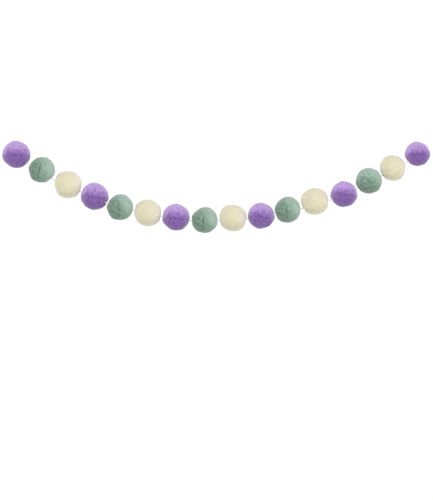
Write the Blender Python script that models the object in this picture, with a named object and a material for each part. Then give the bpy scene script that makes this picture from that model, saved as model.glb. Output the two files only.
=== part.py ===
"""A felt ball garland: wool felt balls threaded on a cotton string that hangs from a loop tied at each end.

The balls repeat three colours. Each is rolled wool, a little off round, pierced right through by the string and
drawn in where the string enters and leaves it. The string hangs in a catenary, and both it and the balls stray a
little from that curve, because no ball is pierced quite through its middle.

Metres, +Z up, +X along the garland, -Y towards the viewer. The origin is where the left loop bears on its hook.
"""

import math
from collections import namedtuple

import bmesh
import bpy
from mathutils import Matrix, Vector, noise

MM = 0.001

# The string's curve, with lengths taken along it from its lowest point
CURVE_SIZE = 300.4 * MM
LEFT_KNOT = -229 * MM
RIGHT_KNOT = 234 * MM
FIRST_BALL = -201.8 * MM

# Where the string strays from that curve, as it leaves one ball and enters the next a little off centre: the place
# along the curve, and how far the string lies up across it and towards the viewer, in millimetres
Stray = namedtuple("Stray", "length up forward")
STRAYS = (
    Stray(-229, 2.1, 0.0),
    Stray(-216, 2.1, 0.0),
    Stray(-187, 0.0, 0.0),
    Stray(-159, -1.0, 0.0),
    Stray(-131, 0.0, 0.0),
    Stray(-104, -0.6, 1.8),
    Stray(-78, 0.0, 0.0),
    Stray(-51, 0.0, 0.0),
    Stray(-23, -0.8, 0.0),
    Stray(3, 0.0, 0.0),
    Stray(31, 0.0, 0.0),
    Stray(57, 2.1, 0.0),
    Stray(83, 0.0, 0.0),
    Stray(112, -0.5, 0.0),
    Stray(139, 0.0, 0.0),
    Stray(165, 0.0, 0.0),
    Stray(192, -0.9, 0.0),
    Stray(220, 0.0, 0.0),
    Stray(234, 0.0, 0.0),
)

# The string
STRING_RADIUS = 0.8 * MM
STRING_POINTS = 76
ROUND_STEPS = 2
CLEARANCE = 0.3 * MM

# The loop at each end, its knot and the knot's free end
LOOP_LENGTH = 18 * MM
LOOP_WIDTH = 8 * MM
LOOP_POINTS = 28
LEG_OFFSET = 0.95 * MM
KNOT_LENGTH = 5.2 * MM
KNOT_HEIGHT = 4.2 * MM
KNOT_DEPTH = 3.8 * MM
WRAP_RADIUS = 1.7 * MM
WRAP_SPACING = 1.5 * MM
WRAP_LEAN = 20
TAIL_LENGTH = 8 * MM
TAIL_START = 1.2 * MM
TAIL_DROP = 4.4 * MM
TAIL_POINTS = 4

# The felt: mesh steps round a ball and from hole to hole, the unevenness of its surface, and the dimple at each hole
ROUND_SEGMENTS = 18
HOLE_TO_HOLE_SEGMENTS = 14
UNEVEN_HEIGHT = 0.45 * MM
UNEVEN_SCALE = 1.9
SEED_STEP = 7.3
DIMPLE_DEPTH = 1.1 * MM
DIMPLE_RADIUS = 1.9 * MM

# Each ball from left to right: its wool, its size, the gap to the next one and the height of its centre over the
# string, in millimetres, and how far its form is turned about the viewing direction, in degrees
Ball = namedtuple("Ball", "wool across gap above turn")
BALLS = (
    Ball("purple", 25.9, 3.1, 1.4, 0),
    Ball("green", 24.5, 3.4, 1.8, 0),
    Ball("cream", 25.8, 1.9, 1.1, 0),
    Ball("purple", 25.9, 1.1, 0.9, 2),
    Ball("green", 24.5, 1.4, -1.0, 8),
    Ball("cream", 25.6, 1.8, 0.5, 5),
    Ball("purple", 25.5, 2.4, 0.8, -3),
    Ball("green", 24.5, 1.6, 0.2, 4),
    Ball("cream", 25.6, 1.8, 2.1, -4),
    Ball("purple", 24.9, 1.4, 1.3, 4),
    Ball("green", 24.5, 1.8, 2.2, 10),
    Ball("cream", 25.8, 3.2, 3.1, 12),
    Ball("purple", 24.8, 2.2, -0.2, 0),
    Ball("green", 24.5, 1.3, 1.4, 150),
    Ball("cream", 24.3, 3.3, 1.3, -8),
    Ball("purple", 23.1, 0.0, -0.2, -2),
)

# Corners and flats pressed into each kind of ball: the direction in the front view, anticlockwise from +X, the
# rise in millimetres, below zero for a flat, and how widely it spreads
Lump = namedtuple("Lump", "angle rise spread")
FORMS = {
    "purple": (
        Lump(190, 0.50, 16),
        Lump(350, 0.45, 16),
        Lump(105, 0.20, 16),
        Lump(65, -0.35, 20),
        Lump(235, -0.40, 22),
        Lump(280, -0.30, 22),
    ),
    "green": (
        Lump(60, 0.40, 18),
        Lump(165, 0.30, 14),
        Lump(225, 0.45, 14),
        Lump(125, -0.30, 20),
        Lump(268, -0.35, 20),
        Lump(305, -0.20, 22),
    ),
    "cream": (
        Lump(25, 0.30, 14),
        Lump(140, 0.40, 17),
        Lump(312, 0.50, 20),
        Lump(85, -0.35, 18),
        Lump(195, -0.50, 15),
        Lump(262, -0.25, 16),
    ),
}

# Linear colour, roughness
Finish = namedtuple("Finish", "colour roughness")
FINISHES = {
    "purple": Finish((0.34, 0.21, 0.50), 0.95),
    "green": Finish((0.28, 0.38, 0.32), 0.95),
    "cream": Finish((0.76, 0.71, 0.55), 0.95),
    "cotton": Finish((0.86, 0.86, 0.84), 0.85),
}


def curve_point(length):
    """The catenary's point at this length from its lowest point, which is at the curve's own zero."""
    return Vector((
        CURVE_SIZE * math.asinh(length / CURVE_SIZE),
        0,
        math.hypot(CURVE_SIZE, length) - CURVE_SIZE,
    ))


def slope(length):
    """The string's angle to the horizontal there, above zero where it rises to the right."""
    return math.atan(length / CURVE_SIZE)


def along_string(length):
    return Vector((math.cos(slope(length)), 0, math.sin(slope(length))))


def across_string(length):
    return Vector((-math.sin(slope(length)), 0, math.cos(slope(length))))


def strayed_point(length):
    """The string's own point there, beside the catenary's, with an even turn from each stray to the next."""
    place = length / MM
    before, after = next((pair for pair in zip(STRAYS, STRAYS[1:]) if place <= pair[1].length), STRAYS[-2:])
    share = min(max((place - before.length) / (after.length - before.length), 0), 1)
    ease = share * share * (3 - 2 * share)
    up = before.up + (after.up - before.up) * ease
    forward = before.forward + (after.forward - before.forward) * ease
    return curve_point(length) + across_string(length) * up * MM - Vector((0, forward * MM, 0))


# From the left knot out to where the inside of its loop bears on the hook
HOOK = strayed_point(LEFT_KNOT) - along_string(LEFT_KNOT) * (LOOP_LENGTH - STRING_RADIUS)


def string_point(length):
    """The string's point in the garland's own frame, whose origin is at the left hook."""
    return strayed_point(length) - HOOK


def ball_centre(ball, length):
    return curve_point(length) - HOOK + across_string(length) * ball.above * MM


def clear_scene():
    for obj in list(bpy.data.objects):
        bpy.data.objects.remove(obj, do_unlink=True)


def new_collection(name):
    collection = bpy.data.collections.new(name)
    bpy.context.scene.collection.children.link(collection)
    return collection


def new_material(name, finish):
    material = bpy.data.materials.new(name)
    material.use_nodes = True
    shader = material.node_tree.nodes["Principled BSDF"]
    shader.inputs["Base Color"].default_value = (*finish.colour, 1)
    shader.inputs["Roughness"].default_value = finish.roughness
    shader.inputs["Metallic"].default_value = 0
    return material


def add_object(name, data, collection, parent=None):
    obj = bpy.data.objects.new(name, data)
    collection.objects.link(obj)
    obj.parent = parent
    return obj


def hide(obj):
    """Makes the object a helper, which only shapes others."""
    obj.hide_render = True
    obj.display_type = "WIRE"


def tube(name, points, radius, collection, parent=None):
    """A round tube with closed ends through these points."""
    curve = bpy.data.curves.new(name, "CURVE")
    curve.dimensions = "3D"
    curve.bevel_depth = radius
    curve.bevel_resolution = ROUND_STEPS
    curve.use_fill_caps = True
    spline = curve.splines.new("POLY")
    spline.points.add(len(points) - 1)
    for place, point in zip(spline.points, points):
        place.co = (*point, 1)
    return add_object(name, curve, collection, parent)


def as_mesh(obj, collection):
    """Replaces a curve object by a mesh of the same shape, with its caps welded."""
    bpy.context.view_layer.update()
    graph = bpy.context.evaluated_depsgraph_get()
    name = obj.name
    mesh = bpy.data.meshes.new_from_object(obj.evaluated_get(graph))
    place = obj.matrix_world.copy()
    bpy.data.objects.remove(obj, do_unlink=True)
    work = bmesh.new()
    work.from_mesh(mesh)
    bmesh.ops.remove_doubles(work, verts=work.verts, dist=1e-6)
    bmesh.ops.recalc_face_normals(work, faces=work.faces)
    work.to_mesh(mesh)
    work.free()
    made = add_object(name, mesh, collection)
    made.matrix_world = place
    return made


def boolean(obj, other, operation):
    modifier = obj.modifiers.new(f"{operation.lower()} {other.name}", "BOOLEAN")
    modifier.operation = operation
    modifier.object = other
    modifier.solver = "EXACT"


def string_route(first, last):
    steps = STRING_POINTS - 1
    return [string_point(first + (last - first) * i / steps) for i in range(STRING_POINTS)]


def lump_height(direction, ball):
    """What the corners and flats of this kind of ball add to its radius in a direction of the garland's frame."""
    height = 0.0
    for lump in FORMS[ball.wool]:
        angle = math.radians(lump.angle + ball.turn)
        apart = direction.angle(Vector((math.cos(angle), 0, math.sin(angle))))
        height += lump.rise * MM * math.exp(-(apart / math.radians(lump.spread)) ** 2)
    return height


def hole_directions(ball, length, turned):
    """From the ball's centre to where the string enters it and leaves it, in the ball's own axes, 1 long in X."""
    half = math.sqrt((ball.across * MM / 2) ** 2 - (ball.above * MM) ** 2)
    centre = ball_centre(ball, length)
    ways = [turned.transposed() @ (string_point(length + side * half) - centre) for side in (-1, 1)]
    return [way / abs(way.x) for way in ways]


def felt_ball(name, ball, seed, length, materials, parts, parent):
    """One ball, with its mesh's two poles led to the places where the string enters and leaves it."""
    radius = ball.across * MM / 2
    turned = Matrix.Rotation(-slope(length), 3, "Y")
    holes = hole_directions(ball, length, turned)
    work = bmesh.new()
    bmesh.ops.create_uvsphere(
        work,
        u_segments=ROUND_SEGMENTS,
        v_segments=HOLE_TO_HOLE_SEGMENTS,
        radius=1,
        matrix=Matrix.Rotation(math.radians(90), 4, "Y"),
    )
    for vert in work.verts:
        plain = vert.co.normalized()
        hole = holes[1] if plain.x > 0 else holes[0]
        direction = (plain + Vector((0, hole.y, hole.z)) * plain.x ** 2).normalized()
        outward = turned @ direction
        height = lump_height(outward, ball)
        height += UNEVEN_HEIGHT * noise.noise(outward * UNEVEN_SCALE + Vector((seed * SEED_STEP, 0, 0)))
        height -= DIMPLE_DEPTH * math.exp(-(direction.angle(hole) * radius / DIMPLE_RADIUS) ** 2)
        vert.co = direction * (radius + height)
    mesh = bpy.data.meshes.new(name)
    work.to_mesh(mesh)
    work.free()
    mesh.materials.append(materials[ball.wool])
    mesh.shade_smooth()
    obj = add_object(name, mesh, parts, parent)
    obj.location = ball_centre(ball, length)
    obj.rotation_euler = (0, -slope(length), 0)
    return obj


def felt_balls(bore, materials, parts, parent):
    length = FIRST_BALL
    for number, ball in enumerate(BALLS, start=1):
        obj = felt_ball(f"ball_{number:02d}_{ball.wool}", ball, number, length, materials, parts, parent)
        boolean(obj, bore, "DIFFERENCE")
        if number < len(BALLS):
            length += (ball.across / 2 + ball.gap + BALLS[number].across / 2) * MM


def loop_route():
    """The loop's middle line, out along +X from one side of the knot and back to the other."""
    widest = math.sin(math.radians(120)) * math.sin(math.radians(60)) ** 2
    points = []
    for step in range(LOOP_POINTS):
        round_angle = 2 * math.pi * step / (LOOP_POINTS - 1)
        swell = math.sin(round_angle) * math.sin(round_angle / 2) ** 2 / widest
        points.append(Vector((
            LOOP_LENGTH * math.sin(round_angle / 2) ** 2,
            0,
            LEG_OFFSET * math.cos(round_angle / 2) + LOOP_WIDTH / 2 * swell,
        )))
    return points


def tail_route(below):
    """The knot's free end, which bends down and away beside the string."""
    points = []
    for step in range(TAIL_POINTS):
        share = step / (TAIL_POINTS - 1)
        drop = TAIL_START + (TAIL_DROP - TAIL_START) * share
        points.append(Vector((-TAIL_LENGTH * share, 0, below * drop)))
    return points


def end_loop(name, length, outward, materials, parts, cutters, parent):
    """The loop, knot and free end at one end of the string, as one piece of cord."""
    work = bmesh.new()
    bmesh.ops.create_uvsphere(work, u_segments=12, v_segments=8, radius=0.5)
    bmesh.ops.scale(work, vec=(KNOT_LENGTH, KNOT_DEPTH, KNOT_HEIGHT), verts=work.verts)
    mesh = bpy.data.meshes.new(name)
    work.to_mesh(mesh)
    work.free()
    mesh.materials.append(materials["cotton"])
    mesh.shade_smooth()
    obj = add_object(name, mesh, parts, parent)
    obj.location = string_point(length)
    heading = -slope(length) if outward > 0 else math.pi - slope(length)
    obj.rotation_euler = (0, heading, 0)
    helpers = [
        as_mesh(tube(f"{name}_turn", loop_route(), STRING_RADIUS, cutters), cutters),
        as_mesh(tube(f"{name}_tail", tail_route(-outward), STRING_RADIUS, cutters), cutters),
    ]
    for side in (-1, 1):
        bpy.ops.mesh.primitive_torus_add(
            major_segments=14, minor_segments=6, major_radius=WRAP_RADIUS, minor_radius=STRING_RADIUS
        )
        wrap = bpy.context.object
        wrap.name = f"{name}_wrap_{'inner' if side < 0 else 'outer'}"
        for other in list(wrap.users_collection):
            other.objects.unlink(wrap)
        cutters.objects.link(wrap)
        wrap.location = (side * WRAP_SPACING / 2, 0, 0)
        wrap.rotation_euler = (0, math.radians(90 + WRAP_LEAN * side), 0)
        helpers.append(wrap)
    for helper in helpers:
        helper.parent = obj
        hide(helper)
        boolean(obj, helper, "UNION")
    return obj


def main():
    clear_scene()
    parts = new_collection("felt_ball_garland")
    cutters = new_collection("cutters")
    materials = {name: new_material(name, finish) for name, finish in FINISHES.items()}
    garland = add_object("garland", None, parts)

    knot_reach = KNOT_LENGTH / 2 + CLEARANCE
    route = string_route(LEFT_KNOT + knot_reach, RIGHT_KNOT - knot_reach)
    string = tube("string", route, STRING_RADIUS, parts, garland)
    string.data.materials.append(materials["cotton"])
    bore = as_mesh(tube("string_bore", route, STRING_RADIUS + CLEARANCE, cutters), cutters)
    hide(bore)

    felt_balls(bore, materials, parts, garland)
    end_loop("loop_left", LEFT_KNOT, -1, materials, parts, cutters, garland)
    end_loop("loop_right", RIGHT_KNOT, 1, materials, parts, cutters, garland)


main()
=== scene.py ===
"""The looks of the felt ball garland: rolled wool balls on a twisted cotton string, in metres, +Z up.

Each ball is one mesh: its skin and the bore through it, with its pressed flats and corners and its creases, and a
coat of loose fibres. Two attributes at the mesh's points give the wool's shade and tell the skin from the fibres. The
shade holds the felt's mottle with painted light on each ball's lit side and flanks, and painted shade on its far
side and in its creases, pits and bore.
"""

import math
from collections import namedtuple

import bpy
import numpy as np
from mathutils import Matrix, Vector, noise


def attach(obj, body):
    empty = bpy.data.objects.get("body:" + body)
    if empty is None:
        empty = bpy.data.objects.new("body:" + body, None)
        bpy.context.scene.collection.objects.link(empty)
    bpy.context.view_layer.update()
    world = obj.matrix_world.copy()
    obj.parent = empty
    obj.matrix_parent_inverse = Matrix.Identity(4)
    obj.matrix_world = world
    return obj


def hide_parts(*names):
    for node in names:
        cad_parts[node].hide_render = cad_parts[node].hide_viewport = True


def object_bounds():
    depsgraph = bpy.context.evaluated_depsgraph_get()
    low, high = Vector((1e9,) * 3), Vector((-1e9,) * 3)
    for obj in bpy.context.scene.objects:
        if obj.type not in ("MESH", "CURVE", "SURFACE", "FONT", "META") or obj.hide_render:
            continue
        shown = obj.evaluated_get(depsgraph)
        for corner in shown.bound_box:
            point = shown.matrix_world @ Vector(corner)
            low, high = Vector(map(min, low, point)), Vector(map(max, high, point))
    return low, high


MM = 0.001

# The photograph's frame: its size, the real size of a pixel and the string's lowest point, in pixels from the corner
PHOTO_WIDTH = 433
PHOTO_HEIGHT = 500
PIXEL = 0.948 * MM
LOWEST_PIXEL = (215.0, 220.6)
CAMERA_DISTANCE = 2.4
CAMERA_REACH = 20
SENSOR = 36

# The string's curve, with lengths taken along it from its lowest point
CURVE_SIZE = 300.4 * MM
LEFT_KNOT = -229 * MM
RIGHT_KNOT = 234 * MM
FIRST_BALL = -201.8 * MM

# Where the string strays from that curve, as in the solids: the place along the curve, and how far the string lies
# up across it and towards the viewer, in millimetres
Stray = namedtuple("Stray", "length up forward")
STRAYS = (
    Stray(-229, 2.1, 0.0),
    Stray(-216, 2.1, 0.0),
    Stray(-187, 0.0, 0.0),
    Stray(-159, -1.0, 0.0),
    Stray(-131, 0.0, 0.0),
    Stray(-104, -0.6, 1.8),
    Stray(-78, 0.0, 0.0),
    Stray(-51, 0.0, 0.0),
    Stray(-23, -0.8, 0.0),
    Stray(3, 0.0, 0.0),
    Stray(31, 0.0, 0.0),
    Stray(57, 2.1, 0.0),
    Stray(83, 0.0, 0.0),
    Stray(112, -0.5, 0.0),
    Stray(139, 0.0, 0.0),
    Stray(165, 0.0, 0.0),
    Stray(192, -0.9, 0.0),
    Stray(220, 0.0, 0.0),
    Stray(234, 0.0, 0.0),
)

# The string: three plies twisted together, soft enough to press into each other, and the length that opens at a free
# end
STRING_RADIUS = 0.8 * MM
PLIES = 3
PLY_RADIUS = STRING_RADIUS / 2.0
PLY_OFFSET = STRING_RADIUS - PLY_RADIUS
PLY_SIDES = 8
TWIST_PITCH = 5.2 * MM
YARN_PITCH = 3.1 * MM
STRING_STEP = 0.55 * MM
OPENED_END = 3 * STRING_RADIUS

# The loop at each end and its knot, as wide and long as the solids. The wraps run from one share of the knot's length
# to another, and widen out over their first share; the tail starts at a share of its own length
LOOP_LENGTH = 18 * MM
LOOP_WIDTH = 8 * MM
LEG_OFFSET = 0.95 * MM
KNOT_LENGTH = 5.2 * MM
WRAP_RADIUS = 1.62 * MM
WRAP_TURNS = 2.5
WRAP_FROM, WRAP_TO = 0.36, -0.36
WRAP_WIDENS = 1 / 6
TAIL_LENGTH = 8 * MM
TAIL_START = 1.2 * MM
TAIL_DROP = 4.4 * MM
TAIL_FROM = 0.42
TAIL_SPLAY = 0.7
LOOP_STEP = 0.45 * MM
LOOP_POINTS = 90
WRAP_POINTS = 60
TAIL_POINTS = 12
SMOOTHING_PASSES = 3

# The felt's broad form, as in the solids
UNEVEN_HEIGHT = 0.45 * MM
UNEVEN_SCALE = 1.9
SEED_STEP = 7.3
DIMPLE_DEPTH = 1.1 * MM
DIMPLE_RADIUS = 1.9 * MM

# The felt's fine form: mesh steps, the bore and the painted shade inside it, and the scales, heights and changes of
# shade of its lumps and pits, which make the wool lighter on the lumps and darker in the pits, partly as the felt's
# mottle and partly as painted shade
ROUND_SEGMENTS = 120
OUTER_ROWS = 86
BORE_ROWS = 10
BORE_RADIUS = 0.92 * MM
BORE_PAINTED_SHADE = -0.7
RELIEF_SEED = 20
Relief = namedtuple("Relief", "scale height shade")
RELIEF = (
    Relief(5.5, 0.18 * MM, 0.20),
    Relief(13.0, 0.11 * MM, 0.36),
    Relief(30.0, 0.03 * MM, 0.20),
)

# The coat of loose fibres: most lie half sunk in the skin, some arch over it and some stand off at one end. They bend
# and taper, are a little lighter than the skin, and leave it bare round each hole
FIBRES = 1650
FIBRE_RADIUS = 0.026 * MM
FIBRE_SIDES = 3
FIBRE_POINTS = 4
FIBRE_LENGTH = (1.4 * MM, 4.0 * MM)
FIBRE_LIFT = 0.015 * MM
FIBRE_SUNK = 2 * FIBRE_RADIUS
ARCHED_SHARE = 0.08
ARCHED_LIFT = 0.16 * MM
STANDING_SHARE = 0.10
STANDING_LIFT = 0.45 * MM
FIBRE_BEND = 0.35
FIBRE_TAPER = (1.0, 1.0, 0.9, 0.5)
FIBRE_SHADE = 0.30
FIBRE_SHADE_SPREAD = 0.20
BARE_RADIUS = 1.6 * DIMPLE_RADIUS

# The balls from left to right, in millimetres: their width, the gap to the next one and how far their centre is over
# the curve. In degrees, how far round they lie, and how far round their painted light side and their creases are
Ball = namedtuple("Ball", "wool across gap above turn light")
BALLS = (
    Ball("purple", 25.9, 3.1, 1.4, 0, 5),
    Ball("green", 24.5, 3.4, 1.8, 0, -4),
    Ball("cream", 25.8, 1.9, 1.1, 0, 3),
    Ball("purple", 25.9, 1.1, 0.9, 2, 0),
    Ball("green", 24.5, 1.4, -1.0, 8, 10),
    Ball("cream", 25.6, 1.8, 0.5, 5, 5),
    Ball("purple", 25.5, 2.4, 0.8, -3, 2),
    Ball("green", 24.5, 1.6, 0.2, 4, 8),
    Ball("cream", 25.6, 1.8, 2.1, -4, 7),
    Ball("purple", 24.9, 1.4, 1.3, 4, -2),
    Ball("green", 24.5, 1.8, 2.2, 10, 11),
    Ball("cream", 25.8, 3.2, 3.1, 12, 2),
    Ball("purple", 24.8, 2.2, -0.2, 0, -1),
    Ball("green", 24.5, 1.3, 1.4, 150, 48),
    Ball("cream", 24.3, 3.3, 1.3, -8, -1),
    Ball("purple", 23.1, 0.0, -0.2, -2, 7),
)

# Corners and flats pressed into each kind of ball, as in the solids: direction in the front view, rise, spread
Lump = namedtuple("Lump", "angle rise spread")
FORMS = {
    "purple": (
        Lump(190, 0.50, 16),
        Lump(350, 0.45, 16),
        Lump(105, 0.20, 16),
        Lump(65, -0.35, 20),
        Lump(235, -0.40, 22),
        Lump(280, -0.30, 22),
    ),
    "green": (
        Lump(60, 0.40, 18),
        Lump(165, 0.30, 14),
        Lump(225, 0.45, 14),
        Lump(125, -0.30, 20),
        Lump(268, -0.35, 20),
        Lump(305, -0.20, 22),
    ),
    "cream": (
        Lump(25, 0.30, 14),
        Lump(140, 0.40, 17),
        Lump(312, 0.50, 20),
        Lump(85, -0.35, 18),
        Lump(195, -0.50, 15),
        Lump(262, -0.25, 16),
    ),
}

# Creases in each kind of ball, drawn on the side that faces the viewer as strokes from one point to another, in
# shares of the radius; how wide and deep they are in millimetres, and how much painted shade darkens them
Crease = namedtuple("Crease", "x0 z0 x1 z1 width depth dark")
CREASES = {
    "purple": (
        Crease(-0.62, 0.04, -0.46, 0.22, 0.64, 0.24, 0.56),
        Crease(-0.80, -0.06, -0.74, -0.14, 0.72, 0.20, 0.56),
        Crease(-0.41, -0.02, -0.37, -0.12, 0.80, 0.38, 1.12),
        Crease(-0.20, 0.03, 0.00, -0.11, 0.72, 0.38, 1.06),
        Crease(0.00, -0.11, 0.24, -0.09, 0.64, 0.28, 0.62),
        Crease(0.24, -0.09, 0.48, -0.16, 0.64, 0.30, 0.81),
        Crease(0.56, -0.10, 0.66, -0.18, 0.64, 0.20, 0.56),
        Crease(0.64, 0.30, 0.72, 0.24, 0.64, 0.16, 0.62),
        Crease(0.04, -0.58, 0.06, -0.76, 0.64, 0.26, 0.94),
        Crease(-0.24, -0.36, -0.16, -0.50, 0.64, 0.20, 0.75),
        Crease(-0.50, -0.34, -0.44, -0.52, 0.64, 0.20, 0.56),
        Crease(0.26, -0.40, 0.40, -0.52, 0.64, 0.16, 0.56),
        Crease(-0.40, -0.74, -0.10, -0.86, 0.64, 0.20, 0.69),
        Crease(0.30, -0.80, 0.60, -0.62, 0.64, 0.20, 0.69),
    ),
    "green": (
        Crease(-0.46, 0.42, -0.24, 0.54, 0.96, 0.26, 0.62),
        Crease(-0.06, 0.50, -0.04, 0.30, 0.64, 0.26, 0.75),
        Crease(-0.08, 0.20, -0.13, -0.24, 0.80, 0.40, 1.19),
        Crease(-0.50, 0.28, -0.40, 0.12, 0.72, 0.20, 0.62),
        Crease(-0.70, 0.28, -0.68, 0.14, 0.64, 0.20, 0.62),
        Crease(-0.72, -0.08, -0.60, -0.28, 0.80, 0.34, 1.19),
        Crease(-0.50, -0.28, -0.38, -0.40, 0.64, 0.20, 0.62),
        Crease(-0.22, -0.42, -0.16, -0.64, 0.72, 0.30, 1.00),
        Crease(-0.56, -0.62, -0.36, -0.78, 0.72, 0.24, 0.88),
        Crease(0.30, -0.40, 0.38, -0.50, 0.64, 0.16, 0.56),
        Crease(0.06, -0.26, 0.12, -0.36, 0.64, 0.16, 0.56),
        Crease(-0.90, 0.16, -0.92, -0.16, 0.72, 0.15, 0.62),
        Crease(0.20, 0.30, 0.34, 0.44, 0.56, 0.12, 0.31),
    ),
    "cream": (
        Crease(-0.50, -0.62, -0.06, -0.74, 1.3, 0.24, 0.60),
        Crease(-0.10, -0.76, 0.26, -0.70, 0.9, 0.18, 0.50),
        Crease(0.12, -0.46, 0.30, -0.50, 0.8, 0.14, 0.45),
        Crease(-0.34, 0.36, -0.30, -0.30, 1.0, 0.12, 0.20),
        Crease(-0.62, 0.20, -0.56, -0.26, 1.0, 0.10, 0.18),
        Crease(0.52, 0.26, 0.58, -0.10, 0.8, 0.10, 0.15),
    ),
}

# How far the creases wander, in shares of the radius, over what scale, and the seeds of the two directions; and how
# fast they fade out towards the ball's rim
CREASE_WANDER = 0.07
CREASE_WANDER_SCALE = 6.0
CREASE_SEEDS = (40, 80)
CREASE_FADE = 4

# A nick where the string has bitten into a ball's edge: the ball's number, the side, and the depth in millimetres.
# It stays near its hole, where a direction's share along the hole's is over NICK_FACING
Nick = namedtuple("Nick", "ball side depth")
NICKS = (
    Nick(4, 1, 2.8),
)
NICK_WIDTH = 1.5 * MM
NICK_REACH = 2.6 * MM
NICK_FACING = 0.5

# How each kind's wool goes from its body tone to its lighter tone, as painted light: the lit side's direction in the
# front view, where the change is and how wide it is, in shares of the radius, the shades on its two sides, and how
# much painted light lightens its flanks, where the string pierces it. The change wanders a little. A power keeps the
# flanks' painted light close to the holes, and it fades towards the underside
PaintedLight = namedtuple("PaintedLight", "angle centre turn low high flank")
PAINTED_LIGHTS = {
    "purple": PaintedLight(87, 0.27, 0.34, -0.37, 1.0, 0.92),
    "green": PaintedLight(24, 0.12, 0.65, -0.48, 1.0, 0.62),
    "cream": PaintedLight(30, 0.00, 0.60, -0.28, 0.4, 1.05),
}
PAINTED_LIGHT_WANDER = 0.15
PAINTED_FLANK_EDGE = 3
PAINTED_FLANK_FADE = 1.2

# Linear colours of the wool: at its darkest, where painted shade and the darkest mottles take it, of its body, and at
# its lightest, where painted light and the lightest mottles take it, and of the sheen on its nap; how strong that
# sheen is, and how much the mottles change the wool's shade, which runs from minus SHADE_REACH to SHADE_REACH
SHADE_REACH = 1.4
Wool = namedtuple("Wool", "dark body light sheen nap mottle")
WOOLS = {
    "purple": Wool((0.094, 0.046, 0.200), (0.214, 0.115, 0.340), (0.544, 0.381, 0.732), (0.86, 0.82, 0.92), 0.5, 0.42),
    "green": Wool((0.074, 0.127, 0.092), (0.180, 0.270, 0.205), (0.397, 0.522, 0.457), (0.85, 0.90, 0.88), 0.4, 0.44),
    "cream": Wool((0.436, 0.412, 0.278), (0.590, 0.545, 0.390), (0.786, 0.748, 0.614), (0.98, 0.97, 0.94), 0.6, 0.16),
}

# The cotton's linear colour, the shares of it at its darkest and lightest, and how high and strong its fibres stand
COTTON = (0.88, 0.88, 0.87)
COTTON_DARKEST = 0.90
COTTON_LIGHTEST = 1.05
COTTON_HEIGHT = 0.10 * MM
COTTON_BUMP = 0.6

# The matted fibres in the felt's surface: how long and thick they are, the directions that they run in as turns in
# degrees, and how far and over what length they wander
STRAND_LENGTH = 2.4 * MM
STRAND_WIDTH = 0.13 * MM
STRAND_TURNS = ((0, 0, 0), (90, 0, 25), (0, 90, 50), (50, 35, 0), (-50, 35, 90))
WANDER_SHIFT = 1.6 * MM
WANDER_LENGTH = 4.5 * MM

# What the noise of the strands and of the mottles runs between, how much the strands change the wool's shade, how
# high and strong they stand, and how fine the mottles are, in spots a metre
STRAND_RANGE = (0.52, 0.78)
STRAND_SHADE = 0.44
STRAND_HEIGHT = 0.22 * MM
STRAND_BUMP = 0.65
MOTTLE_RANGE = (0.25, 0.75)
MOTTLE_SCALE = 620

# The round lamps: where each stands from the string's lowest point, its width in metres and its power in watts
Lamp = namedtuple("Lamp", "name offset size power")
LAMPS = (
    Lamp("lamp_above", (0.0, -0.9, 0.9), 1.2, 5),
    Lamp("lamp_front", (0.0, -2.6, 0.0), 1.2, 19),
    Lamp("lamp_back", (0.0, 2.4, 0.7), 1.2, 16),
    Lamp("lamp_left", (-1.2, -0.6, 0.0), 0.9, 2.8),
    Lamp("lamp_right", (1.2, -0.6, 0.0), 0.9, 2.8),
)

# The white room: how bright it is to the camera, and how bright as light on the garland
ROOM_SEEN = 1.02
ROOM_LIGHT = 0.75

# The floor: how far it is below the garland, and its reach to each side, to the front and to the back
FLOOR_DROP = 0.3
FLOOR_HALF = 0.7
FLOOR_FRONT = -0.6
FLOOR_BACK = 0.45


def curve_point(length):
    """The catenary's point at this length from its lowest point, which is at the curve's own zero."""
    return np.array((
        CURVE_SIZE * math.asinh(length / CURVE_SIZE),
        0,
        math.hypot(CURVE_SIZE, length) - CURVE_SIZE,
    ))


def slope(length):
    return math.atan(length / CURVE_SIZE)


def along_string(length):
    return np.array((math.cos(slope(length)), 0, math.sin(slope(length))))


def across_string(length):
    return np.array((-math.sin(slope(length)), 0, math.cos(slope(length))))


def strayed_point(length):
    """The string's own point there, beside the catenary's, with an even turn from each stray to the next."""
    place = length / MM
    before, after = next((pair for pair in zip(STRAYS, STRAYS[1:]) if place <= pair[1].length), STRAYS[-2:])
    share = min(max((place - before.length) / (after.length - before.length), 0), 1)
    ease = share * share * (3 - 2 * share)
    up = before.up + (after.up - before.up) * ease
    forward = before.forward + (after.forward - before.forward) * ease
    return curve_point(length) + across_string(length) * up * MM - np.array((0, forward * MM, 0))


HOOK = strayed_point(LEFT_KNOT) - along_string(LEFT_KNOT) * (LOOP_LENGTH - STRING_RADIUS)
LOWEST = curve_point(0) - HOOK


def string_point(length):
    """The string's point in the garland's frame, whose origin is at the left hook."""
    return strayed_point(length) - HOOK


def unit(vectors):
    return vectors / np.linalg.norm(vectors, axis=-1, keepdims=True)


def place_camera():
    """The camera looks straight along +Y, framed as the photograph is."""
    right = (PHOTO_WIDTH / 2 - LOWEST_PIXEL[0]) * PIXEL
    down = (PHOTO_HEIGHT / 2 - LOWEST_PIXEL[1]) * PIXEL
    data = bpy.data.cameras.new("camera")
    data.sensor_fit = "AUTO"
    data.sensor_width = SENSOR
    data.lens = SENSOR * CAMERA_DISTANCE / (PHOTO_HEIGHT * PIXEL)
    data.clip_end = CAMERA_REACH
    camera = bpy.data.objects.new("camera", data)
    bpy.context.scene.collection.objects.link(camera)
    camera.location = (LOWEST[0] + right, -CAMERA_DISTANCE, LOWEST[2] - down)
    camera.rotation_euler = (math.radians(90), 0, 0)
    bpy.context.scene.camera = camera


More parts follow.
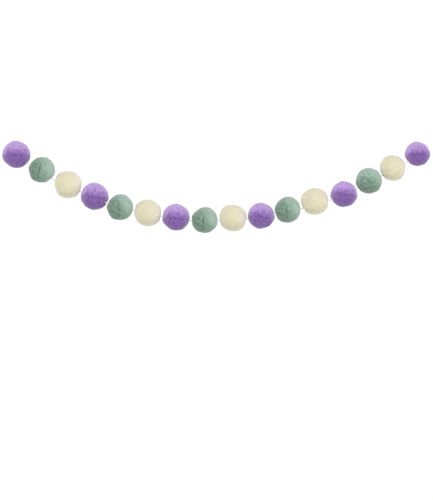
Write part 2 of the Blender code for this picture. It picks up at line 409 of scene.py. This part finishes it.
def mesh_object(name, points, faces, material):
    """A smooth mesh object of quads or triangles."""
    mesh = bpy.data.meshes.new(name)
    mesh.from_pydata([tuple(p) for p in points], [], [tuple(f) for f in faces])
    mesh.materials.append(material)
    mesh.shade_smooth()
    obj = bpy.data.objects.new(name, mesh)
    bpy.context.scene.collection.objects.link(obj)
    return obj


def line_frames(points):
    """For each point of a line, two directions across it that turn as little as they can along it."""
    ahead = unit(np.gradient(points, axis=0))
    side = np.zeros_like(points)
    start = np.array((0.0, 1.0, 0.0))
    side[0] = unit(start - ahead[0] * (start @ ahead[0]))
    for i in range(1, len(points)):
        side[i] = unit(side[i - 1] - ahead[i] * (side[i - 1] @ ahead[i]))
    return side, np.cross(ahead, side)


def lengths_along(points):
    return np.concatenate(([0], np.cumsum(np.linalg.norm(np.diff(points, axis=0), axis=1))))


def tube_mesh(points, radius, sides):
    """Points and quads of a round tube along a line, closed at both ends by a point."""
    side, up = line_frames(points)
    angles = np.arange(sides) * 2 * math.pi / sides
    ring = side[:, None] * np.cos(angles)[None, :, None] + up[:, None] * np.sin(angles)[None, :, None]
    verts = np.vstack(((points[:, None] + ring * radius).reshape(-1, 3), points[:1], points[-1:]))
    count = len(points)
    first, last = count * sides, count * sides + 1
    faces = []
    for k in range(sides):
        after = (k + 1) % sides
        for i in range(count - 1):
            faces.append((i * sides + k, i * sides + after, (i + 1) * sides + after, (i + 1) * sides + k))
        faces.append((first, after, k))
        faces.append((last, (count - 1) * sides + k, (count - 1) * sides + after))
    return verts, faces


def evenly(points, step):
    """The same line with its points this far apart."""
    lengths = lengths_along(points)
    wanted = np.linspace(0, lengths[-1], max(3, round(lengths[-1] / step)))
    return np.stack([np.interp(wanted, lengths, points[:, k]) for k in range(3)], axis=1)


def twisted_cord(name, route, material, splay=0.0):
    """Three plies twisted round a route. splay opens them out at the cord's last end, by that share.

    The attribute yarn gives each point's place on its ply, with the yarn's own twist, for the cotton's fibres.
    """
    side, up = line_frames(route)
    lengths = lengths_along(route)
    open_end = np.clip((lengths - lengths[-1] + OPENED_END) / OPENED_END, 0, 1)
    offset = PLY_OFFSET * (1 + splay * open_end)
    verts, faces, yarn = [], [], []
    for ply in range(PLIES):
        angle = 2 * math.pi * (ply / PLIES + lengths / TWIST_PITCH)
        centre = route + side * (np.cos(angle) * offset)[:, None] + up * (np.sin(angle) * offset)[:, None]
        some, quads = tube_mesh(centre, PLY_RADIUS, PLY_SIDES)
        base = sum(len(v) for v in verts)
        verts.append(some)
        faces += [tuple(i + base for i in face) for face in quads]
        turn = 2 * math.pi * (np.arange(PLY_SIDES)[None, :] / PLY_SIDES - lengths[:, None] / YARN_PITCH)
        place = np.stack((
            np.broadcast_to(lengths[:, None] / STRAND_LENGTH + ply * SEED_STEP, turn.shape),
            np.cos(turn),
            np.sin(turn),
        ), axis=2).reshape(-1, 3)
        yarn.append(np.vstack((place, place[:1], place[-1:])))
    obj = mesh_object(name, np.vstack(verts), faces, material)
    attribute = obj.data.attributes.new("yarn", "FLOAT_VECTOR", "POINT")
    attribute.data.foreach_set("vector", np.vstack(yarn).astype(np.float32).ravel())
    return obj


def smoothed(line, passes):
    """The line with its inner points drawn towards their neighbours."""
    line = line.copy()
    for _ in range(passes):
        line[1:-1] = line[1:-1] / 2 + (line[:-2] + line[2:]) / 4
    return line


def loop_route(length, outward):
    """The end loop's line: out of the knot, round the hook, back, round the legs in close turns, and off."""
    out = along_string(length) * outward
    down = across_string(length) * -1
    toward_viewer = np.array((0, -1.0, 0))
    leg_start = np.array([(x, 0, 0) for x in (-KNOT_LENGTH / 2, -KNOT_LENGTH / 4)])
    sweep = np.linspace(0, 2 * math.pi, LOOP_POINTS)
    widest = math.sin(math.radians(120)) * math.sin(math.radians(60)) ** 2
    swell = np.sin(sweep) * np.sin(sweep / 2) ** 2 / widest
    loop = np.stack((
        LOOP_LENGTH * np.sin(sweep / 2) ** 2,
        np.zeros_like(sweep),
        -(LEG_OFFSET * np.cos(sweep / 2) + LOOP_WIDTH / 2 * swell),
    ), axis=1)
    loop = loop[loop[:, 0] > KNOT_LENGTH / 3]
    turns = np.linspace(0, 1, WRAP_POINTS)
    angle = turns * WRAP_TURNS * 2 * math.pi
    widen = LEG_OFFSET + (WRAP_RADIUS - LEG_OFFSET) * np.clip(turns / WRAP_WIDENS, 0, 1)
    wraps = np.stack((
        KNOT_LENGTH * (WRAP_FROM + (WRAP_TO - WRAP_FROM) * turns),
        np.sin(angle) * widen,
        np.cos(angle) * widen,
    ), axis=1)
    share = np.linspace(TAIL_FROM, 1, TAIL_POINTS)
    tail = np.stack((
        -TAIL_LENGTH * share,
        np.zeros_like(share),
        TAIL_START + (TAIL_DROP - TAIL_START) * share,
    ), axis=1)
    local = np.vstack((leg_start, loop, wraps, tail))
    line = string_point(length) + local[:, :1] * out + local[:, 1:2] * toward_viewer + local[:, 2:] * down
    return evenly(smoothed(evenly(line, LOOP_STEP), SMOOTHING_PASSES), LOOP_STEP)


def lump_heights(outward, ball):
    """How far the ball's flats and corners stand off a true ball in each direction."""
    heights = np.zeros(len(outward))
    for lump in FORMS[ball.wool]:
        angle = math.radians(lump.angle + ball.turn)
        toward = np.array((math.cos(angle), 0, math.sin(angle)))
        apart = np.arccos(np.clip(outward @ toward, -1, 1))
        heights += lump.rise * MM * np.exp(-(apart / math.radians(lump.spread)) ** 2)
    return heights


def noise_at(points, scale, offset):
    return np.array([noise.noise((p[0] * scale + offset, p[1] * scale, p[2] * scale)) for p in points])


def crease_marks(outward, ball, seed):
    """How deep the creases are and how much painted shade darkens them, on the front and, turned over, on the back."""
    radius = ball.across * MM / 2
    depth = np.zeros(len(outward))
    dark = np.zeros(len(outward))
    turn = math.radians(ball.light)
    wander, wander_across = (
        noise_at(outward, CREASE_WANDER_SCALE, seed * SEED_STEP + start) * CREASE_WANDER for start in CREASE_SEEDS
    )
    for facing in (-1, 1):
        x = outward[:, 0] * -facing + wander
        z = outward[:, 2] * -facing + wander_across
        if facing > 0:
            x, z = -z, x
        x, z = x * math.cos(turn) + z * math.sin(turn), z * math.cos(turn) - x * math.sin(turn)
        near = np.clip(outward[:, 1] * facing * CREASE_FADE, 0, 1)
        for crease in CREASES[ball.wool]:
            start = np.array((crease.x0, crease.z0))
            line = np.array((crease.x1, crease.z1)) - start
            share = np.clip(((x - start[0]) * line[0] + (z - start[1]) * line[1]) / (line @ line), 0, 1)
            apart = np.hypot(x - start[0] - share * line[0], z - start[1] - share * line[1]) * radius
            trough = np.exp(-(apart / (crease.width * MM)) ** 2) * near
            depth = np.maximum(depth, crease.depth * MM * trough)
            # painted shade along each crease
            dark = np.maximum(dark, crease.dark * trough)
    return depth, dark


def nick_depth(outward, radius, number, holes):
    """How far the felt is cut back where the string has bitten from its hole towards the viewer."""
    depth = np.zeros(len(outward))
    forward = np.array((0, -1.0, 0))
    for nick in NICKS:
        if nick.ball != number:
            continue
        hole = holes[(nick.side + 1) // 2]
        across = (outward - hole) @ unit(np.cross(hole, forward)) * radius
        along = (outward - hole) @ forward * radius
        past = np.maximum(np.maximum(along - NICK_REACH, -along), 0)
        facing = outward @ hole > NICK_FACING
        depth += nick.depth * MM * np.exp(-(across / NICK_WIDTH) ** 4 - (past / NICK_WIDTH) ** 2) * facing
    return depth


class Place:
    """Where a ball sits: its centre, the turn from its own axes to the garland's, and the ways to its two holes."""

    def __init__(self, ball, length):
        angle = slope(length)
        self.turned = np.array((
            (math.cos(angle), 0, -math.sin(angle)),
            (0, 1, 0),
            (math.sin(angle), 0, math.cos(angle)),
        ))
        self.radius = ball.across * MM / 2
        self.centre = curve_point(length) - HOOK + across_string(length) * ball.above * MM
        half = math.sqrt(self.radius ** 2 - (ball.above * MM) ** 2) - DIMPLE_DEPTH
        self.ends = (length - half, length + half)
        self.holes = [unit(string_point(end) - self.centre) for end in self.ends]

    def outward(self, plain):
        """The directions, in the garland's axes, that these become where the poles are led to the two holes."""
        ways = [hole @ self.turned for hole in self.holes]
        aside = [way / abs(way[0]) * (0, 1, 1) for way in ways]
        led = plain + np.where(plain[:, :1] > 0, aside[1], aside[0]) * plain[:, :1] ** 2
        return unit(led) @ self.turned.T


def felt_surface(outward, ball, seed, place):
    """The felt's height over a true ball and its shade, from -1 to 1, in each direction.

    The shade holds painted light on the lit side and flanks, painted shade on the far side and in the creases, and
    lumps and pits that are partly the wool's mottle and partly painted shade.
    """
    offset = seed * SEED_STEP
    heights = lump_heights(outward, ball) + UNEVEN_HEIGHT * noise_at(outward, UNEVEN_SCALE, offset)
    for hole in place.holes:
        apart = np.arccos(np.clip(outward @ hole, -1, 1)) * place.radius
        heights -= DIMPLE_DEPTH * np.exp(-(apart / DIMPLE_RADIUS) ** 2)
    depth, dark = crease_marks(outward, ball, seed)
    heights -= depth + nick_depth(outward, place.radius, seed, place.holes)
    rough = [noise_at(outward, relief.scale, offset + RELIEF_SEED) for relief in RELIEF]
    # Painted light: each kind's wool is lighter towards its lit side and darker on its far side, the change wandering
    # a little
    painted_light = PAINTED_LIGHTS[ball.wool]
    angle = math.radians(painted_light.angle + ball.light)
    lean = outward @ np.array((math.cos(angle), 0, math.sin(angle))) + rough[0] * PAINTED_LIGHT_WANDER
    share = 0.5 + 0.5 * np.tanh((lean - painted_light.centre) / painted_light.turn)
    # Painted light on the flanks: lighter towards the sides where the holes are, fading towards the underside
    flank = painted_light.flank * np.abs(outward[:, 0]) ** PAINTED_FLANK_EDGE * np.clip(1 + PAINTED_FLANK_FADE * outward[:, 2], 0, 1)
    shade = painted_light.low + (painted_light.high - painted_light.low) * share + flank - dark
    # The wool is lighter on the lumps and darker in the pits: partly the felt's mottle, partly painted shade
    for relief, bumps in zip(RELIEF, rough):
        heights += relief.height * bumps
        shade += relief.shade * bumps
    return heights, np.clip(shade, -1, 1)


def ball_skin(ball, seed, place):
    """The ball's outer skin from hole to hole, joined inside by the bore that the string runs through."""
    rim = math.asin(BORE_RADIUS / place.radius)
    rows = np.linspace(math.pi - rim, rim, OUTER_ROWS)
    rounds = np.arange(ROUND_SEGMENTS) * 2 * math.pi / ROUND_SEGMENTS
    plain = np.stack((
        np.repeat(np.cos(rows), ROUND_SEGMENTS),
        np.outer(np.sin(rows), np.cos(rounds)).ravel(),
        np.outer(np.sin(rows), np.sin(rounds)).ravel(),
    ), axis=1)
    outward = place.outward(plain)
    heights, shade = felt_surface(outward, ball, seed, place)
    skin = place.centre + outward * (place.radius + heights)[:, None]
    bore = []
    for length in np.linspace(place.ends[1] - BORE_RADIUS, place.ends[0] + BORE_RADIUS, BORE_ROWS):
        ring = np.outer(np.cos(rounds), (0, 1, 0)) + np.outer(np.sin(rounds), across_string(length))
        bore.append(string_point(length) + ring * BORE_RADIUS)
    points = np.vstack([skin] + bore)
    # The bore's points get painted shade, darker than the skin
    shades = np.concatenate((shade, np.full(BORE_ROWS * ROUND_SEGMENTS, BORE_PAINTED_SHADE)))
    total = OUTER_ROWS + BORE_ROWS
    faces = []
    for row in range(total):
        here, there = row * ROUND_SEGMENTS, (row + 1) % total * ROUND_SEGMENTS
        for k in range(ROUND_SEGMENTS):
            after = (k + 1) % ROUND_SEGMENTS
            faces.append((here + k, here + after, there + after, there + k))
    return points, faces, shades


def fibre_lines(ball, seed, place, random):
    """The loose fibres' middle lines and the shades of their wool: the skin's shade at their tips, with its painted
    light and shade, made a little lighter at random.
    """
    root = unit(random.normal(size=(FIBRES, 3)))
    apart = np.arccos(np.max(np.stack([root @ hole for hole in place.holes]), axis=0)) * place.radius
    root = root[apart > BARE_RADIUS]
    count = len(root)
    heading = unit(np.cross(root, unit(random.normal(size=(count, 3)))))
    bend = np.cross(root, heading) * random.normal(0, FIBRE_BEND, (count, 1))
    reach = random.uniform(*FIBRE_LENGTH, size=count) / place.radius
    arched = random.random(count) < ARCHED_SHARE
    lift = np.where(arched, random.uniform(0, ARCHED_LIFT, count), random.normal(0, FIBRE_LIFT, count))
    standing = random.random(count) < STANDING_SHARE
    end_lift = np.where(standing, random.uniform(0, STANDING_LIFT, count), -FIBRE_SUNK)
    lines = []
    for share in np.linspace(0, 1, FIBRE_POINTS):
        way = unit(root + (heading * share + bend * share ** 2) * reach[:, None])
        heights, shade = felt_surface(way, ball, seed, place)
        hop = lift * 4 * share * (1 - share) + end_lift * share ** 2 - FIBRE_SUNK * (1 - share) ** 2
        lines.append(place.centre + way * (place.radius + heights + hop)[:, None])
    own_shade = random.normal(FIBRE_SHADE, FIBRE_SHADE_SPREAD, count)
    return np.stack(lines, axis=1), np.clip(shade + own_shade, -1, 1)


def ball_fibres(ball, seed, place):
    """Loose fibres on the skin, each a fine closed three-sided strand."""
    lines, shade = fibre_lines(ball, seed, place, np.random.default_rng(seed))
    ahead = unit(lines[:, -1] - lines[:, 0])
    side = unit(np.cross(ahead, unit(lines[:, 0] - place.centre)))
    up = np.cross(ahead, side)
    angles = np.arange(FIBRE_SIDES) * 2 * math.pi / FIBRE_SIDES
    ring = side[:, None] * np.cos(angles)[None, :, None] + up[:, None] * np.sin(angles)[None, :, None]
    taper = np.array(FIBRE_TAPER)[None, :, None, None]
    points = (lines[:, :, None] + ring[:, None] * FIBRE_RADIUS * taper).reshape(-1, 3)
    one = []
    for i in range(FIBRE_POINTS - 1):
        for k in range(FIBRE_SIDES):
            here, after = i * FIBRE_SIDES + k, i * FIBRE_SIDES + (k + 1) % FIBRE_SIDES
            one.append((here, after, after + FIBRE_SIDES, here + FIBRE_SIDES))
    last = (FIBRE_POINTS - 1) * FIBRE_SIDES
    ends = [(2, 1, 0), (last, last + 1, last + 2)]
    each = FIBRE_POINTS * FIBRE_SIDES
    faces = [tuple(i + n * each for i in face) for n in range(len(lines)) for face in one + ends]
    return points, faces, np.repeat(shade, each)


def felt_ball(ball, number, length, material):
    """One ball, centred at this length along the string. Its number is also its seed."""
    place = Place(ball, length)
    skin, skin_faces, skin_shade = ball_skin(ball, number, place)
    fibres, fibre_faces, fibre_shade = ball_fibres(ball, number, place)
    faces = skin_faces + [tuple(i + len(skin) for i in face) for face in fibre_faces]
    obj = mesh_object(f"felt_ball_{number:02d}", np.vstack((skin, fibres)), faces, material)
    on_skin = np.concatenate((np.ones(len(skin)), np.zeros(len(fibres))))
    # shade holds the wool's mottle with painted light and painted shade
    for name, values in (("shade", np.concatenate((skin_shade, fibre_shade))), ("skin", on_skin)):
        obj.data.attributes.new(name, "FLOAT", "POINT").data.foreach_set("value", values.astype(np.float32))
    return obj


def socket_colour(colour):
    return (*colour, 1)


class Nodes:
    """Adds nodes to a material's tree and links them."""

    def __init__(self, material):
        material.use_nodes = True
        self.tree = material.node_tree
        self.shader = self.tree.nodes["Principled BSDF"]

    def add(self, kind, settings=None, values=None, inputs=None):
        """A node of this kind with its settings, its sockets' values and the outputs that feed its sockets."""
        node = self.tree.nodes.new(f"ShaderNode{kind}")
        for key, value in (settings or {}).items():
            setattr(node, key, value)
        for key, value in (values or {}).items():
            node.inputs[key].default_value = value
        for key, output in (inputs or {}).items():
            self.tree.links.new(output, node.inputs[key])
        return node

    def noise(self, vector, *, scale, detail, roughness=0.5, distortion=0.0):
        values = {"Scale": scale, "Detail": detail, "Roughness": roughness, "Distortion": distortion}
        return self.add("TexNoise", values=values, inputs={"Vector": vector})

    def spread(self, value, old, new):
        """The value led from the old range to the new one and kept inside it."""
        values = {"From Min": old[0], "From Max": old[1], "To Min": new[0], "To Max": new[1]}
        return self.add("MapRange", values=values, inputs={"Value": value}).outputs["Result"]

    def combine(self, operation, first, second):
        return self.add("Math", {"operation": operation}, inputs={0: first, 1: second}).outputs["Value"]

    def ramp(self, factor, stops):
        node = self.add("ValToRGB", inputs={"Fac": factor})
        elements = node.color_ramp.elements
        for _ in stops[2:]:
            elements.new(0.5)
        for element, (position, colour) in zip(elements, stops):
            element.position = position
            element.color = socket_colour(colour)
        return node.outputs["Color"]

    def bump(self, height, strength, distance):
        values = {"Strength": strength, "Distance": distance}
        node = self.add("Bump", values=values, inputs={"Height": height})
        self.tree.links.new(node.outputs["Normal"], self.shader.inputs["Normal"])

    def colour(self, output):
        self.tree.links.new(output, self.shader.inputs["Base Color"])


def matted_strands(nodes, place):
    """Fine wandering streaks that run in several directions and lie over each other."""
    wander = nodes.noise(place, scale=1 / WANDER_LENGTH, detail=1).outputs["Color"]
    centred = nodes.add("VectorMath", {"operation": "SUBTRACT"}, {1: (0.5, 0.5, 0.5)}, {0: wander})
    shift = nodes.add("VectorMath", {"operation": "SCALE"}, {"Scale": WANDER_SHIFT}, {0: centred.outputs["Vector"]})
    bent = nodes.add("VectorMath", {"operation": "ADD"}, inputs={0: place, 1: shift.outputs["Vector"]})
    highest = None
    for turns in STRAND_TURNS:
        values = {
            "Rotation": [math.radians(turn) for turn in turns],
            "Scale": (STRAND_WIDTH, STRAND_WIDTH, STRAND_LENGTH),
        }
        laid = nodes.add("Mapping", {"vector_type": "TEXTURE"}, values, {"Vector": bent.outputs["Vector"]})
        streaks = nodes.noise(laid.outputs["Vector"], scale=1, detail=1).outputs["Fac"]
        highest = streaks if highest is None else nodes.combine("MAXIMUM", highest, streaks)
    return highest


def felt_material(name, wool):
    """Wool felt: its shade runs from dark to light, broken up by mottles and matted fibres, under a soft sheen.

    The shade attribute brings painted light and painted shade along with the felt's mottle.
    """
    material = bpy.data.materials.new(name)
    nodes = Nodes(material)
    nodes.shader.inputs["Roughness"].default_value = 1
    nodes.shader.inputs["Specular IOR Level"].default_value = 0.08
    nodes.shader.inputs["Sheen Weight"].default_value = wool.nap
    nodes.shader.inputs["Sheen Roughness"].default_value = 0.5
    nodes.shader.inputs["Sheen Tint"].default_value = socket_colour(wool.sheen)
    place = nodes.add("TexCoord").outputs["Object"]
    shade = nodes.add("Attribute", {"attribute_name": "shade"}).outputs["Fac"]
    mottle = nodes.noise(place, scale=MOTTLE_SCALE, detail=4, roughness=0.65, distortion=1.2).outputs["Fac"]
    strands = matted_strands(nodes, place)
    total = nodes.combine("ADD", shade, nodes.spread(mottle, MOTTLE_RANGE, (-wool.mottle, wool.mottle)))
    total = nodes.combine("ADD", total, nodes.spread(strands, STRAND_RANGE, (-STRAND_SHADE, STRAND_SHADE)))
    stops = ((0, wool.dark), (0.5, wool.body), (1, wool.light))
    nodes.colour(nodes.ramp(nodes.spread(total, (-SHADE_REACH, SHADE_REACH), (0, 1)), stops))
    skin = nodes.add("Attribute", {"attribute_name": "skin"}).outputs["Fac"]
    nodes.bump(nodes.combine("MULTIPLY", strands, skin), STRAND_BUMP, STRAND_HEIGHT)
    return material


def cotton_material():
    """White spun cotton, with the fibres of each ply, which stand out a little and vary its tone."""
    material = bpy.data.materials.new("string_cotton")
    nodes = Nodes(material)
    nodes.shader.inputs["Roughness"].default_value = 0.9
    nodes.shader.inputs["Specular IOR Level"].default_value = 0.2
    nodes.shader.inputs["Sheen Weight"].default_value = 0.4
    nodes.shader.inputs["Sheen Roughness"].default_value = 0.5
    yarn = nodes.add("Attribute", {"attribute_name": "yarn"}).outputs["Vector"]
    fibres = nodes.noise(yarn, scale=3.0, detail=3, roughness=0.6, distortion=0.4).outputs["Fac"]
    stops = ((0.3, [c * COTTON_DARKEST for c in COTTON]), (0.7, [min(1, c * COTTON_LIGHTEST) for c in COTTON]))
    nodes.colour(nodes.ramp(fibres, stops))
    nodes.bump(fibres, COTTON_BUMP, COTTON_HEIGHT)
    return material


def add_string(material):
    """The twisted string and both end loops, which are one cord."""
    lengths = np.arange(LEFT_KNOT, RIGHT_KNOT, STRING_STEP)
    route = np.array([string_point(length) for length in lengths])
    string = twisted_cord("twisted_string", route, material)
    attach(string, "root")
    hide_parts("string")
    for name, length, outward in (("left", LEFT_KNOT, -1), ("right", RIGHT_KNOT, 1)):
        loop = twisted_cord(f"hanging_loop_{name}", loop_route(length, outward), material, TAIL_SPLAY)
        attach(loop, "root")
        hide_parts(f"loop_{name}")


def add_balls():
    """The balls one after the other along the string, each with its kind's felt."""
    materials = {wool: felt_material(f"felt_{wool}", look) for wool, look in WOOLS.items()}
    length = FIRST_BALL
    for number, ball in enumerate(BALLS, start=1):
        obj = felt_ball(ball, number, length, materials[ball.wool])
        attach(obj, "root")
        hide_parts(f"ball_{number:02d}_{ball.wool}")
        if number < len(BALLS):
            length += (ball.across / 2 + ball.gap + BALLS[number].across / 2) * MM


def add_floor():
    """A plain pale floor well below the garland, clear of the photograph's view."""
    low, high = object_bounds()
    middle = (low[0] + high[0]) / 2
    left, right, z = middle - FLOOR_HALF, middle + FLOOR_HALF, low[2] - FLOOR_DROP
    corners = [(left, FLOOR_FRONT, z), (right, FLOOR_FRONT, z), (right, FLOOR_BACK, z), (left, FLOOR_BACK, z)]
    material = bpy.data.materials.new("floor")
    nodes = Nodes(material)
    nodes.shader.inputs["Base Color"].default_value = (0.9, 0.9, 0.9, 1)
    nodes.shader.inputs["Roughness"].default_value = 0.9
    mesh_object("floor", np.array(corners), [(0, 1, 2, 3)], material)


def add_light(lamp):
    """A round lamp that faces the string's lowest point."""
    data = bpy.data.lights.new(lamp.name, "AREA")
    data.shape = "DISK"
    data.size = lamp.size
    data.energy = lamp.power
    light = bpy.data.objects.new(lamp.name, data)
    bpy.context.scene.collection.objects.link(light)
    x, y, z = lamp.offset
    light.location = LOWEST + np.array(lamp.offset)
    light.rotation_euler = (math.atan2(math.hypot(x, y), z), 0, math.atan2(-y, -x) - math.pi / 2)


def light_scene():
    """A white room: even light from all round, and the lamps."""
    scene = bpy.context.scene
    scene.view_settings.view_transform = "Standard"
    scene.view_settings.look = "None"
    world = bpy.data.worlds.new("white_room")
    scene.world = world
    world.use_nodes = True
    nodes, links = world.node_tree.nodes, world.node_tree.links
    back, room = nodes["Background"], nodes.new("ShaderNodeBackground")
    for background, strength in ((back, ROOM_SEEN), (room, ROOM_LIGHT)):
        background.inputs["Color"].default_value = (1, 1, 1, 1)
        background.inputs["Strength"].default_value = strength
    seen = nodes.new("ShaderNodeLightPath")
    choice = nodes.new("ShaderNodeMixShader")
    links.new(seen.outputs["Is Camera Ray"], choice.inputs["Fac"])
    links.new(room.outputs["Background"], choice.inputs[1])
    links.new(back.outputs["Background"], choice.inputs[2])
    links.new(choice.outputs["Shader"], nodes["World Output"].inputs["Surface"])
    for lamp in LAMPS:
        add_light(lamp)


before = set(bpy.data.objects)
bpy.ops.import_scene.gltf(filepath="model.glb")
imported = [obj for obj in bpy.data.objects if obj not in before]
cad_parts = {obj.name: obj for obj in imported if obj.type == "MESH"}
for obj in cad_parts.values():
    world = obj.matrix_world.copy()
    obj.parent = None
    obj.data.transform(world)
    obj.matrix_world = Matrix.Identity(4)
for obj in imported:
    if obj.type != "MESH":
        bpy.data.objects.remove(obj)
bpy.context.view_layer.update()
place_camera()
add_string(cotton_material())
add_balls()
add_floor()
light_scene()
